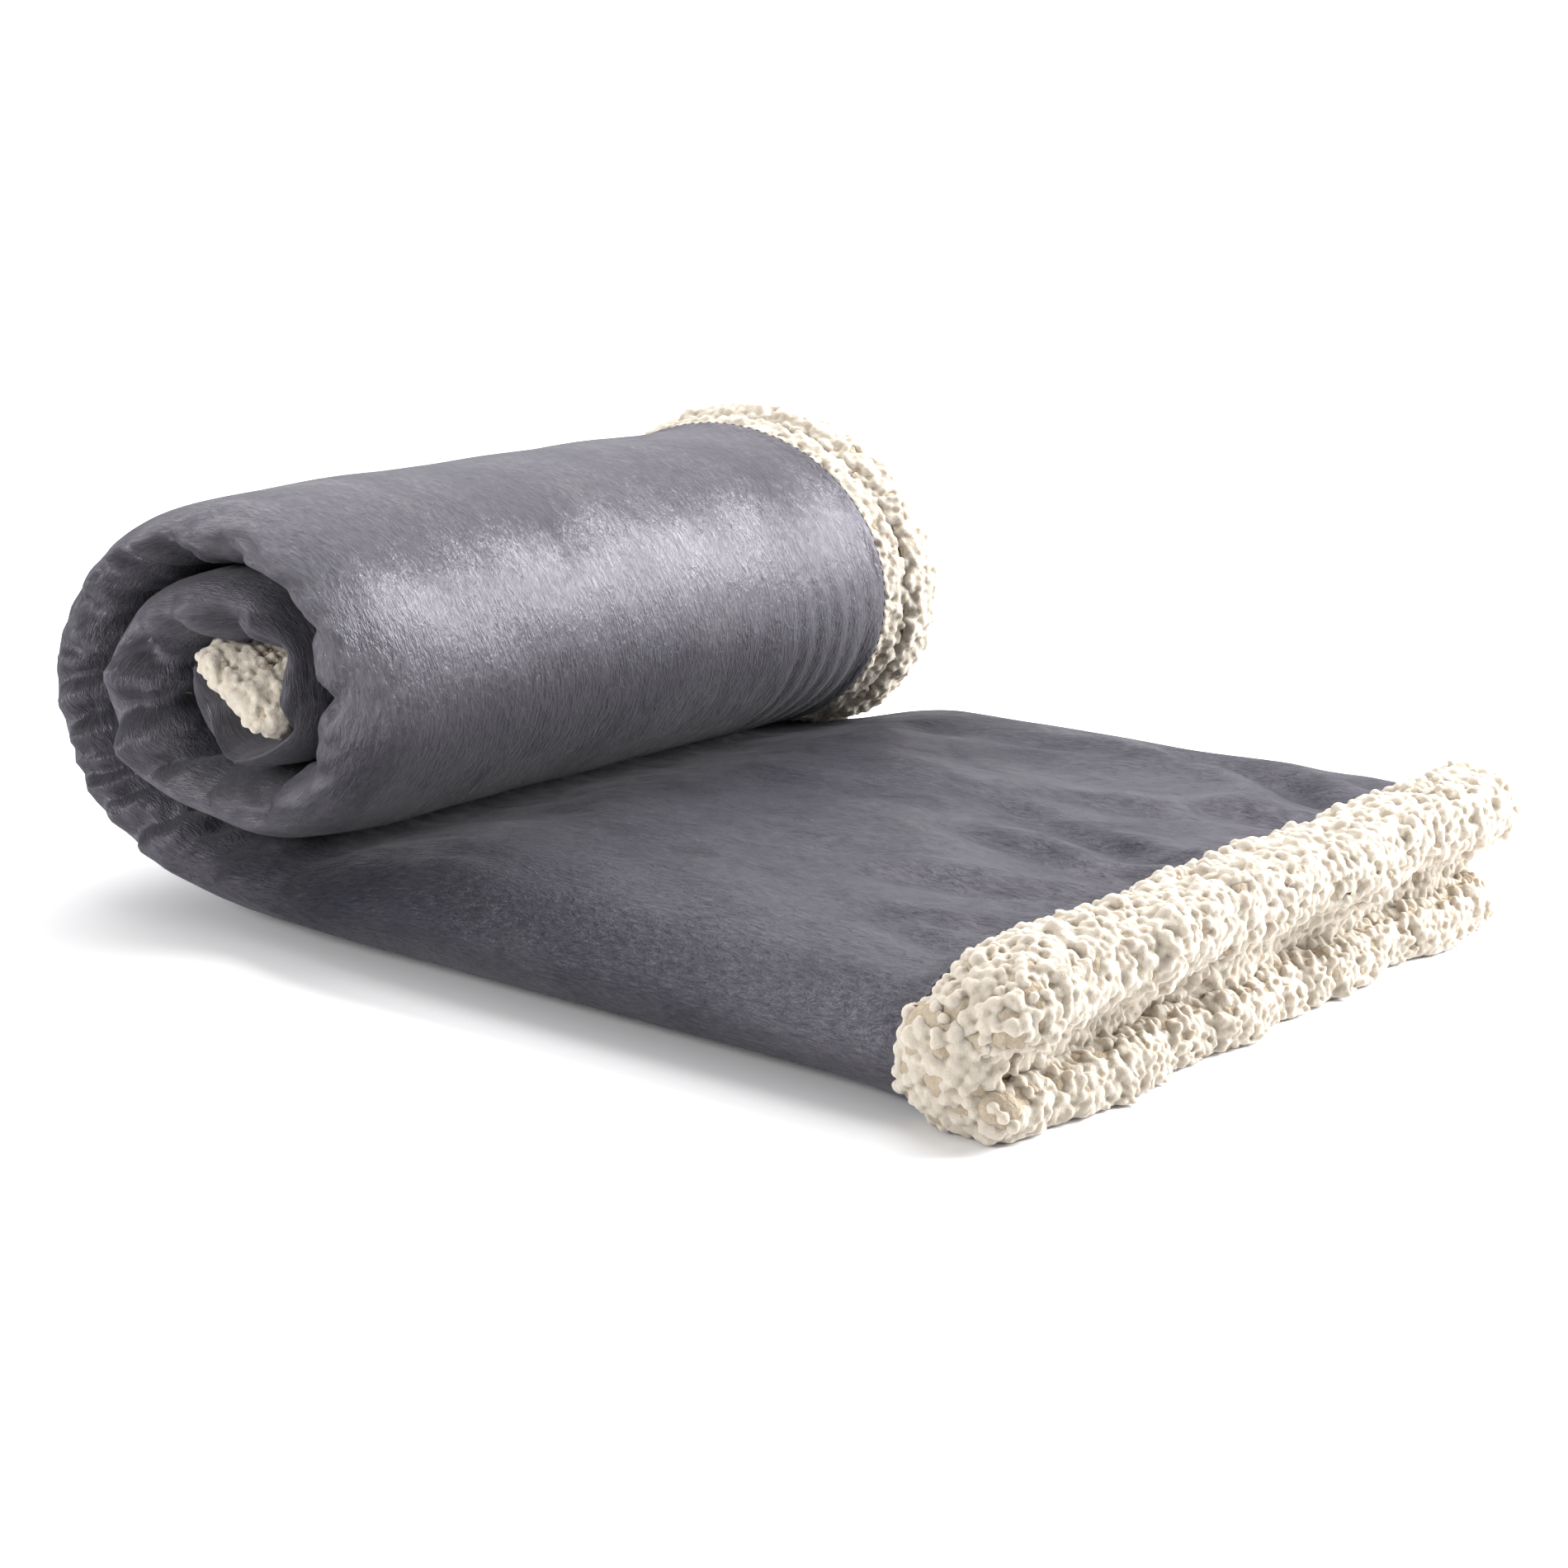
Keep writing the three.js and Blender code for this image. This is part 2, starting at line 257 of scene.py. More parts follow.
def relief(u, v):
    """How far the cloth's plush side stands above its plain surface."""
    u, v = np.broadcast_arrays(np.asarray(u, float), np.asarray(v, float))
    out = np.zeros(u.shape)
    on_top = smooth((u - U_A[2] + 0.02) / 0.03) * (u < U_A[3] + 0.012)
    flat = v < FLAT
    y1 = Y_NEAR + (u - U_A[2])
    x1 = FLAT - v
    seam = smooth((v - BORDER) / 0.012)
    # creases of the flat stretch
    m = flat & (on_top > 0)
    if m.any():
        d = np.zeros(m.sum())
        X, Y = x1[m], y1[m]
        wob = 0.004 * waves(X, Y, 0.07, 5)
        for (a, b, depth, half, ridge) in FLAT_CREASES:
            ax, ay = a
            bx, by = b
            L = math.hypot(bx - ax, by - ay)
            tx, ty = (bx - ax) / L, (by - ay) / L
            s = ((X - ax) * tx + (Y - ay) * ty) / L
            q = -(X - ax) * ty + (Y - ay) * tx + wob
            fade = smooth((s + 0.25) / 0.5) * smooth((1.18 - s) / 0.35)
            narrow = half * (1.25 - 0.45 * np.clip(s, 0, 1))
            d += fade * (-depth * np.exp(-np.abs(q / narrow) ** 1.6) + ridge * np.exp(-((q - 2.1 * narrow) / (1.3 * narrow)) ** 2))
        d += 0.0012 * waves(X, Y, 0.085, 11) + 0.0005 * waves(X, Y, 0.03, 12)
        d *= 0.2 + 0.8 * smooth((Y_FAR - 0.004 - Y) / 0.030)
        # small gathers that start at the seam
        d += (0.0016 * np.exp(-np.maximum(v[m] - BORDER, 0) / 0.022)) * waves(Y * 1.0, X * 0.25, 0.021, 13)
        out[m] += d * on_top[m] * seam[m]
    # puckers at the folded end of the roll
    t = across(u)
    near = (np.abs(t) < 0.11)
    m = near & (v > FLAT - 0.10)
    if m.any():
        T, Vv = t[m], v[m]
        d = np.zeros(m.sum())
        start = smooth((Vv - FLAT + 0.09) / 0.08)
        for k, (deg, depth, half, lean, reach) in enumerate(PUCKERS):
            depth = depth * (1.45 if deg > 396 else 1.0)
            vc = v_at(math.radians(deg))
            s = Vv - vc - lean * T / 0.03 - 0.002 * np.sin(T / 0.009 + k)
            env = (0.10 * smooth((T + 0.034) / 0.012) + 0.90 * smooth((T + 0.010 + 0.22 * reach) / 0.021)) * smooth((0.062 - T) / 0.03)
            wide = half * (1 + 0.35 * np.clip(-T / 0.03, 0, 1))
            d += -depth * env * np.exp(-np.abs(s / wide) ** 1.5)
            d += 0.30 * depth * env * np.exp(-((np.abs(s) - 2.4 * wide) / (1.2 * wide)) ** 2)
        puff = bump(T, -0.002, 0.035, 0.026)
        d += puff * (0.0016 * waves(Vv, T, 0.032, 21) + 0.0009 * waves(Vv, T, 0.014, 22))
        turn2 = smooth((Vv - v_at(2 * math.pi)) / 0.05)
        d += puff * turn2 * 0.0034 * waves(Vv, T * 0.6, 0.045, 23)
        out[m] += d * start
    # the roll's outside: slight unevenness, and gathers low at the far rim
    m = (u < U_A[1] + 0.01) & (v > FLAT - 0.02)
    if m.any():
        e = u[m]
        ph = np.degrees(phi_at(v[m]))
        d = 0.0007 * waves(e, v[m], 0.09, 31) + 0.00028 * waves(e * 0.6, v[m], 0.034, 32)
        low = bump(ph, 262, 338, 42) * bump(e, BORDER + 0.008, BORDER + 0.055, 0.03)
        bend = 0.010 * ((ph - 300) / 60.0) ** 2
        q = e - BORDER - bend
        d += low * 0.0023 * np.where(np.sin(q / 0.0125 * 2 * math.pi + 0.9) > 0, 1, 1) * (np.abs(np.sin(q / 0.0125 * math.pi)) ** 0.7 - 0.6)
        out[m] += d * smooth((u[m] - BORDER) / 0.008)
    # the hem: the plush is turned under in a small bead along the seam
    e = np.minimum(np.minimum(u, U - u), np.minimum(v, V - v))
    side = np.minimum(u, U - u) <= np.minimum(v, V - v)
    bead = np.exp(-((e - BORDER - 0.0042) / 0.0028) ** 2)
    out += np.where(side, 0.0021, 0.0004) * bead * (e > BORDER)
    return out


# How the wraps lie at the roll's folded end, in millimetres from the roll's
# centre: the outer and the inner face of the strip at each angle, in degrees
# of the plain spiral. Deeper in, the roll is the plain spiral.
END_WRAPS = [
    (0, None, (0, -55)),
    (45, None, (-38, -41)),
    (90, None, (-60, -3)),
    (135, None, (-43, 34)),
    (180, None, (-6, 47)),
    (225, None, (26, 38)),
    (270, None, (37, 4)),
    (310, None, (33, -18)),
    (338, None, (18, -27)),
    (362, (2, -54), (2, -27)),
    (398, (-40, -40), (-22, -21)),
    (434, (-62, -2), (-25, -2)),
    (470, (-44, 34), (-20, 15)),
    (505, (-6, 47), (-1, 20)),
    (540, (26, 38), (18, 20)),
    (573, (38, 6), (27, 6)),
    (603, (31, -17), (22, -6)),
    (628, (8, -28), (9, -15)),
    (646, (-15, -17), (-3, -8)),
    (660, (-23, 2), (-8, 2)),
    (673, (-14, 19), (-6, 7)),
    (690, (4, 19), (0, 1)),
    (706, (20, 14), (8, -8)),
    (722, (32, 7), (20, -15)),
]


def _end_tables():
    keys, A, B = [], [], []
    for deg, a, b in END_WRAPS:
        f = math.radians(deg)
        if a is None:
            r = R0 - float(drop(f))
            a = (-(r + WIDEN) * math.sin(f) * 1000, -r * math.cos(f) * 1000)
        keys.append(f)
        A.append(a)
        B.append(b)
    return np.array(keys), np.array(A) / 1000, np.array(B) / 1000


END_KEYS, END_A, END_B = _end_tables()


def _through(keys, pts, t):
    """A smooth curve through pts at keys."""
    m = np.zeros_like(pts)
    m[1:-1] = (pts[2:] - pts[:-2]) / (keys[2:] - keys[:-2])[:, None]
    m[0] = (pts[1] - pts[0]) / (keys[1] - keys[0])
    m[-1] = (pts[-1] - pts[-2]) / (keys[-1] - keys[-2])
    i = np.clip(np.searchsorted(keys, t, side="right") - 1, 0, len(keys) - 2)
    h = keys[i + 1] - keys[i]
    q = np.clip((t - keys[i]) / h, 0, 1)[..., None]
    h = h[..., None]
    return ((1 + 2 * q) * (1 - q) ** 2 * pts[i] + q * (1 - q) ** 2 * h * m[i]
            + q * q * (3 - 2 * q) * pts[i + 1] + q * q * (q - 1) * h * m[i + 1])


def warp(u, v, w, raised=True):
    """A point of the blanket: u across the unfolded cloth, v along it, w towards its plush side."""
    u, v, w = np.broadcast_arrays(np.asarray(u, float), np.asarray(v, float), np.asarray(w, float))
    if u.ndim == 0:
        return warp(u.reshape(1), v.reshape(1), w.reshape(1), raised)[0]
    if raised:
        w = w + relief(u, v)
    y, n = section(u, w)
    # the near fold is a soft nose, not a half-round bar
    y0 = -WIDTH / 2 + 0.058
    s = np.clip((y0 - y) / (y0 + WIDTH / 2), 0, 1.15)
    q = 0.40 - 0.32 * (1 - smooth((v - 0.015) / 0.07)) + 0.10 * np.exp(-((v - FLAT) / 0.08) ** 2)
    n = n + (STACK / 2 - n) * q * s ** 2
    # and it is drawn in a little under the roll
    y = y + 0.010 * np.exp(-((v - FLAT - 0.01) / 0.06) ** 2) * smooth(s) * smooth(1 - n / STACK)
    # far loop of the top layers reaches out at the free end
    top = smooth((n - STACK * 0.46) / (STACK * 0.1))
    y = y + 0.013 * top * smooth(1 - (Y_FAR - y) / 0.12) * smooth((0.26 - v) / 0.22) * (v < FLAT)
    # the layers' ends at the free end don't lie level
    mid = bump(n, STACK * 0.27, STACK * 0.70, STACK * 0.08)
    back = 0.013 * mid + 0.003 * waves(y, n * 2, 0.09, 41)
    v2 = v + back * (1 - smooth(v / 0.06)) * (v < 0.08)
    # at the free end, the top and the lowest layers are the fat ones
    g = n / STACK
    fat = (1 - smooth(v / 0.05)) * 0.045
    n = n + STACK * fat * np.sin(2 * math.pi * np.clip(g, 0, 1))
    k = thickness(v)
    share = (y + WIDTH / 2) / WIDTH
    out = np.clip(1 - v2 / FLAT, 0, 1.2)
    yy = y + out * (SPLAY_FAR * share - SPLAY_NEAR * (1 - share))
    phi = phi_at(np.maximum(v, FLAT))
    r = R0 - drop(phi) - n * k
    x = np.where(v <= FLAT, FLAT - v2, -(r + WIDEN) * np.sin(phi))
    z = np.where(v <= FLAT, n * k, R0 - r * np.cos(phi))
    # at the folded end the wraps lie closer and lie off centre
    m = v > FLAT
    if m.any():
        f, q = phi[m], (n[m] / STACK)
        pa, pb = _through(END_KEYS, END_A, f), _through(END_KEYS, END_B, f)
        p = pa + (pb - pa) * q[:, None]
        near = 1 - smooth((y[m] + WIDTH / 2 - 0.034) / 0.085)
        near = near * smooth((f - 0.25) / 0.9)
        x[m] = x[m] * (1 - near) + p[:, 0] * near
        z[m] = z[m] * (1 - near) + (R0 + p[:, 1]) * near
        # the second wrap stands out on the left, the core lies a little deeper
        turn = np.degrees(f)
        yy[m] += near * (-0.006 * bump(turn, 410, 500, 60) + 0.004 * bump(turn, 560, 720, 50))
    return np.stack([x + X_SHIFT, yy + Y_SHIFT, z], -1)


#---END-GEOM
# ------------------------------------------------------------- mesh helpers
def spread(*parts):
    """Joined runs of evenly spaced values: (from, to, step)."""
    out = []
    for a, b, st in parts:
        n = max(1, int(round((b - a) / st)))
        out += list(np.linspace(a, b, n + 1))
    out = np.array(sorted(out))
    return out[np.concatenate([[True], np.diff(out) > 1e-6])]


def above_floor(Q):
    z = Q[..., 2]
    z = np.where(z < 0.0008, 0.0008 + 0.08 * (z - 0.0008), z)
    Q[..., 2] = np.maximum(z, 0.0001)
    return Q


def new_mesh(name, verts, faces, smooth_shade=True):
    me = bpy.data.meshes.new(name)
    verts = above_floor(np.array(verts, np.float64))
    y = verts[:, 1]      # the tip of the far loop is pressed a little flat
    verts[:, 1] = np.where(y > 0.2075, 0.2075 + 0.55 * (y - 0.2075), y)
    verts = verts.astype(np.float32)
    me.vertices.add(len(verts))
    me.vertices.foreach_set("co", verts.ravel())
    loops = np.concatenate([f.ravel() for f in faces]).astype(np.int32)
    starts, pos = [], 0
    for f in faces:
        k = f.shape[1]
        starts.append(pos + k * np.arange(len(f)))
        pos += k * len(f)
    starts = np.concatenate(starts).astype(np.int32)
    me.loops.add(len(loops))
    me.loops.foreach_set("vertex_index", loops)
    me.polygons.add(len(starts))
    me.polygons.foreach_set("loop_start", starts)
    me.update(calc_edges=True)
    me.validate()
    if smooth_shade:
        me.polygons.foreach_set("use_smooth", np.ones(len(me.polygons), bool))
    ob = bpy.data.objects.new(name, me)
    bpy.context.scene.collection.objects.link(ob)
    return ob


def grid_quads(nu, nv, off=0, flip=False):
    i, j = np.meshgrid(np.arange(nu - 1), np.arange(nv - 1))
    a = (j * nu + i).ravel() + off
    q = np.stack([a, a + 1, a + 1 + nu, a + nu], -1)
    return q[:, ::-1] if flip else q


def add_vector(ob, name, values):
    at = ob.data.attributes.new(name, "FLOAT_VECTOR", "POINT")
    at.data.foreach_set("vector", np.asarray(values, np.float32).ravel())


def add_float(ob, name, values):
    at = ob.data.attributes.new(name, "FLOAT", "POINT")
    at.data.foreach_set("value", np.asarray(values, np.float32).ravel())


# ---------------------------------------------------------------- plush face
EDGE = BORDER + 0.0014
us = spread(
    (EDGE, EDGE + 0.012, 0.0016), (EDGE + 0.012, EDGE + 0.07, 0.0028), (EDGE + 0.07, U_A[1] - 0.05, 0.006),
    (U_A[1] - 0.05, U_A[1], 0.0034), (U_A[1], U_A[2], 0.0021), (U_A[2], U_A[2] + 0.05, 0.0036),
    (U_A[2] + 0.05, U_A[3], 0.0045), (U_A[3], U_A[4], 0.0026), (U_A[4], U_A[5], 0.03),
    (U_A[5], U_A[6], 0.0012), (U_A[6], U - EDGE - 0.012, 0.03), (U - EDGE - 0.012, U - EDGE, 0.003),
)
vs = spread(
    (EDGE, EDGE + 0.012, 0.002), (EDGE + 0.012, FLAT - 0.06, 0.0040), (FLAT - 0.06, FLAT, 0.0034),
    (FLAT, v_at(2 * math.pi), 0.0030), (v_at(2 * math.pi), V - EDGE - 0.01, 0.0040), (V - EDGE - 0.01, V - EDGE, 0.0025),
)
UU, VV = np.meshgrid(us, vs)
top = GAP + PLUSH
P = warp(UU, VV, top)
nu, nv = len(us), len(vs)
# the rim turns down into the seam on all four sides
rim = np.concatenate([
    np.arange(nu), nu * np.arange(1, nv) + nu - 1, (nv - 1) * nu + np.arange(nu - 2, -1, -1), nu * np.arange(nv - 2, 0, -1)])
ru, rv = UU.ravel()[rim], VV.ravel()[rim]
skirt = warp(np.clip(ru, EDGE + 0.0004, U - EDGE - 0.0004), np.clip(rv, EDGE + 0.0004, V - EDGE - 0.0004), np.full(len(rim), -0.002))
verts = np.concatenate([P.reshape(-1, 3), skirt])
base = nu * nv
k = np.arange(len(rim))
k2 = (k + 1) % len(rim)
strip = np.stack([rim[k], base + k, base + k2, rim[k2]], -1)
plush = new_mesh("plush_face_cloth", verts, [grid_quads(nu, nv), strip])
add_vector(plush, "cut", np.concatenate([np.stack([UU, VV, 0 * UU], -1).reshape(-1, 3), np.stack([ru, rv, 0 * ru - 0.003], -1)]))
print("plush", len(plush.data.polygons))


def normals_out(ob, at, want):
    """Turns all faces round if the face nearest a point doesn't look the wanted way."""
    me = ob.data
    c = np.empty(len(me.polygons) * 3, np.float32)
    me.polygons.foreach_get("center", c)
    i = int(np.argmin(((c.reshape(-1, 3) - np.asarray(at)) ** 2).sum(1)))
    if me.polygons[i].normal.dot(Vector(want)) < 0:
        me.flip_normals()


normals_out(plush, warp(U_A[2] + 0.15, 0.2, top), (0, 0, 1))


def lay_map(ob, a, b):
    """A UV map over the cloth as it was cut."""
    idx = np.empty(len(ob.data.loops), np.int32)
    ob.data.loops.foreach_get("vertex_index", idx)
    layer = ob.data.uv_layers.new(name="OFBake")
    layer.uv.foreach_set("vector", np.stack([a[idx], b[idx]], -1).astype(np.float32).ravel())


_cut = np.empty(len(plush.data.vertices) * 3, np.float32)
plush.data.attributes["cut"].data.foreach_get("vector", _cut)
_cut = _cut.reshape(-1, 3)
lay_map(plush, _cut[:, 0] / U * 0.98 + 0.01, _cut[:, 1] / V * 0.98 + 0.01)

# -------------------------------------------------------------- sherpa back
NOSE = 0.0062


def edge_distance(u, v):
    return np.minimum(np.minimum(u, U - u), np.minimum(v, V - v))


def is_side(u, v):
    return np.minimum(u, U - u) <= np.minimum(v, V - v)


def pile_top(u, v):
    """Height of the sherpa's base on the plush side: the turned-over border, then the hidden back."""
    e = edge_distance(u, v)
    inside = smooth((e - BORDER - 0.0010) / 0.0030)
    border = GAP + PLUSH - 0.0004
    groove = -0.0034 * np.exp(-((BORDER - e) / 0.006) ** 2)
    roll = smooth((v - FLAT + 0.05) / 0.06)
    flare = np.where(is_side(u, v), 0.0052 * roll * smooth((BORDER - 0.004 - e) / 0.016), 0.0022 * smooth((BORDER - e) / 0.012))
    row = np.where(is_side(u, v), -0.0016 * roll * np.exp(-((e - 0.0195) / 0.0026) ** 2), 0.0)
    lumps = 0.0009 * waves(u, v, 0.016, 51)
    h = border + groove + flare + row + lumps
    nose = np.sqrt(np.clip(1 - (1 - np.clip(e / NOSE, 0, 1)) ** 2, 0, 1))
    mid = -0.0030 + 0.5 * flare
    h = mid + (h - mid) * nose
    return h * (1 - inside) + (GAP - 0.0030) * inside


def pile_low(u, v):
    e = edge_distance(u, v)
    nose = np.sqrt(np.clip(1 - (1 - np.clip(e / NOSE, 0, 1)) ** 2, 0, 1))
    roll = smooth((v - FLAT + 0.05) / 0.06)
    flare = np.where(is_side(u, v), 0.0052 * roll * smooth((BORDER - 0.004 - e) / 0.016), 0.0022 * smooth((BORDER - e) / 0.012))
    mid = -0.0030 + 0.5 * flare
    return mid + (-SHERPA + 0.0012 - mid) * nose


us2 = spread(
    (0, 0.007, 0.0007), (0.007, BORDER + 0.002, 0.0022), (BORDER + 0.002, U_A[1] - 0.03, 0.02), (U_A[1] - 0.03, U_A[1], 0.008),
    (U_A[1], U_A[2], 0.0034), (U_A[2], U_A[3], 0.012), (U_A[3], U_A[4], 0.0022), (U_A[4], U_A[5], 0.02),
    (U_A[5], U_A[6], 0.0013), (U_A[6], U - BORDER - 0.002, 0.02), (U - BORDER - 0.002, U - 0.007, 0.0022), (U - 0.007, U, 0.0007),
)
vs2 = spread(
    (0, 0.007, 0.0007), (0.007, BORDER + 0.002, 0.0022), (BORDER + 0.002, FLAT, 0.012), (FLAT, v_at(2 * math.pi), 0.0062),
    (v_at(2 * math.pi), V - BORDER - 0.002, 0.0062), (V - BORDER - 0.002, V - 0.007, 0.0022), (V - 0.007, V, 0.0007),
)
UU, VV = np.meshgrid(us2, vs2)
nu, nv = len(us2), len(vs2)
hi = warp(UU, VV, pile_top(UU, VV)).reshape(-1, 3)
lo = warp(UU, VV, np.minimum(pile_low(UU, VV), pile_top(UU, VV) - 0.0002)).reshape(-1, 3)
border_ring = np.concatenate([
    np.arange(nu), nu * np.arange(1, nv) + nu - 1, (nv - 1) * nu + np.arange(nu - 2, -1, -1), nu * np.arange(nv - 2, 0, -1)])
k = np.arange(len(border_ring))
k2 = (k + 1) % len(border_ring)
ring = np.stack([border_ring[k], border_ring[k2], border_ring[k2] + nu * nv, border_ring[k] + nu * nv], -1)
sherpa = new_mesh("sherpa_back_cloth", np.concatenate([hi, lo]), [grid_quads(nu, nv, 0, True), grid_quads(nu, nv, nu * nv), ring])
add_vector(sherpa, "cut", np.concatenate([np.stack([UU, VV, 0 * UU], -1).reshape(-1, 3), np.stack([UU, VV, 0 * UU - 0.01], -1).reshape(-1, 3)]))
normals_out(sherpa, warp(U_A[2] + 0.15, 0.015, top), (0, 0, 1))
print("sherpa", len(sherpa.data.polygons))


# ------------------------------------------------------------------- curls
NOSE_ARC = 0.0088     # from the edge to where the nose meets the flat of the border
OUT_ARC = 0.0136      # the same over the tips of the curls


def skin(edge, T, S):
    """Base of the pile over one edge of the cloth. T runs along the edge, S over it: from the border's seam at +,
    round the edge at 0, to the back at -."""
    a = np.abs(S)
    e = np.where(a < NOSE_ARC, NOSE * (1 - np.cos(np.clip(a / NOSE_ARC, 0, 1) * math.pi / 2)), NOSE + a - NOSE_ARC)
    e = np.maximum(e, 1e-6)
    u, v = {"end": (T, e), "inner": (T, V - e), "low": (e, T), "high": (U - e, T)}[edge]
    return warp(u, v, np.where(S >= 0, pile_top(u, v), pile_low(u, v)))


def unit(a):
    return a / (np.linalg.norm(a, axis=-1, keepdims=True) + 1e-15)


def skin_axes(edge, T, S, sign, d=0.0005):
    P = skin(edge, T, S)
    dt = unit(skin(edge, T + d, S) - skin(edge, T - d, S))
    ds = unit(skin(edge, T, S + d) - skin(edge, T, S - d))
    return P, dt, ds, unit(np.cross(dt, ds)) * sign


def skin_sign(edge, t, sgn):
    """Which way round T and S run, seen from outside: along the seam side of the border the pile looks up from the cloth."""
    T, S = np.array([t]), np.array([0.018])
    P, dt, ds, N = skin_axes(edge, T, S, 1)
    e = NOSE + S - NOSE_ARC
    u, v = {"end": (T, e), "inner": (T, V - e), "low": (e, T), "high": (U - e, T)}[edge]
    out = warp(u, v, pile_top(u, v) + 0.001) - P
    return 1.0 if (N * out).sum() > 0 else -1.0


def mounds(T, S, gap, size, seed, level):
    """Rounded mounds over a surface: height 0 to about 1, and the way to the middle of the mound each point is on."""
    g = np.random.default_rng(seed)
    n = 64
    jt, jq, own = (g.uniform(-1, 1, (n, n)) for _ in range(3))
    i0, j0 = np.floor(T / gap).astype(int), np.floor(S / gap).astype(int)
    tot, best = np.zeros(T.shape), np.full(T.shape, -1.0)
    mt, mq = np.zeros(T.shape), np.zeros(T.shape)
    for di in (-2, -1, 0, 1, 2):
        for dj in (-2, -1, 0, 1, 2):
            i, j = i0 + di, j0 + dj
            ct = (i + 0.5 + 0.5 * (j % 2) - 0.25 + 0.34 * jt[i % n, j % n]) * gap
            cq = (j + 0.5 + 0.34 * jq[i % n, j % n]) * gap
            h = np.clip(1 - ((T - ct) ** 2 + (S - cq) ** 2) / size ** 2, 0, 1) ** 0.8 * (1 + level * own[i % n, j % n])
            tot += np.exp(9 * h)
            m = h > best
            best = np.where(m, h, best)
            mt, mq = np.where(m, ct, mt), np.where(m, cq, mq)
    return np.log(tot - 24 + 1e-9) / 9, mt - T, mq - S


def make_curl(seed, sides=8, rings=5):
    """One curl of the pile: a plump bent lobe from 0 to 1, both ends round."""
    g = np.random.default_rng(seed)
    bend, bend2 = g.uniform(-0.9, 0.9), g.uniform(-0.25, 0.5)
    ph1, ph2 = g.uniform(0, 6.28, 2)
    fat = g.uniform(-0.12, 0.16)
    pts, tips = [(0, 0, 0.0)], [0.0]
    for r in range(rings):
        t = 0.08 + 0.84 * r / (rings - 1)
        rad = (1 - abs((t - 0.5) / 0.5) ** 2.4) ** 0.5 * (1 + fat * math.sin(7 * t + ph1)) * (0.84 + 0.26 * t)
        c = math.sin(t * 2.4)
        cx, cy = bend * (c - 0.35), bend2 * t
        for k in range(sides):
            a = 2 * math.pi * k / sides
            lump = 1 + 0.12 * math.sin(2 * a + ph2 + 4 * t) + 0.07 * math.sin(3 * a + ph1 - 5 * t)
            pts.append((cx + rad * lump * math.cos(a), cy + rad * lump * math.sin(a), t))
            tips.append(t)
    pts[0] = (bend * -0.35, 0, 0)
    pts.append((bend * (math.sin(2.4) - 0.35), bend2, 1.0))
    tips.append(1.0)
    tri = [(0, 1 + (k + 1) % sides, 1 + k) for k in range(sides)]
    quad = []
    for r in range(rings - 1):
        for k in range(sides):
            a, b = 1 + r * sides + k, 1 + r * sides + (k + 1) % sides
            quad.append((a, b, b + sides, a + sides))
    last = 1 + (rings - 1) * sides
    tri += [(last + k, last + (k + 1) % sides, len(pts) - 1) for k in range(sides)]
    return np.array(pts), np.array(tips), np.array(tri), np.array(quad)


KINDS = [make_curl(900 + i) for i in range(28)]
CLUMP, CLUMP_SIZE = 0.0090, 0.0068


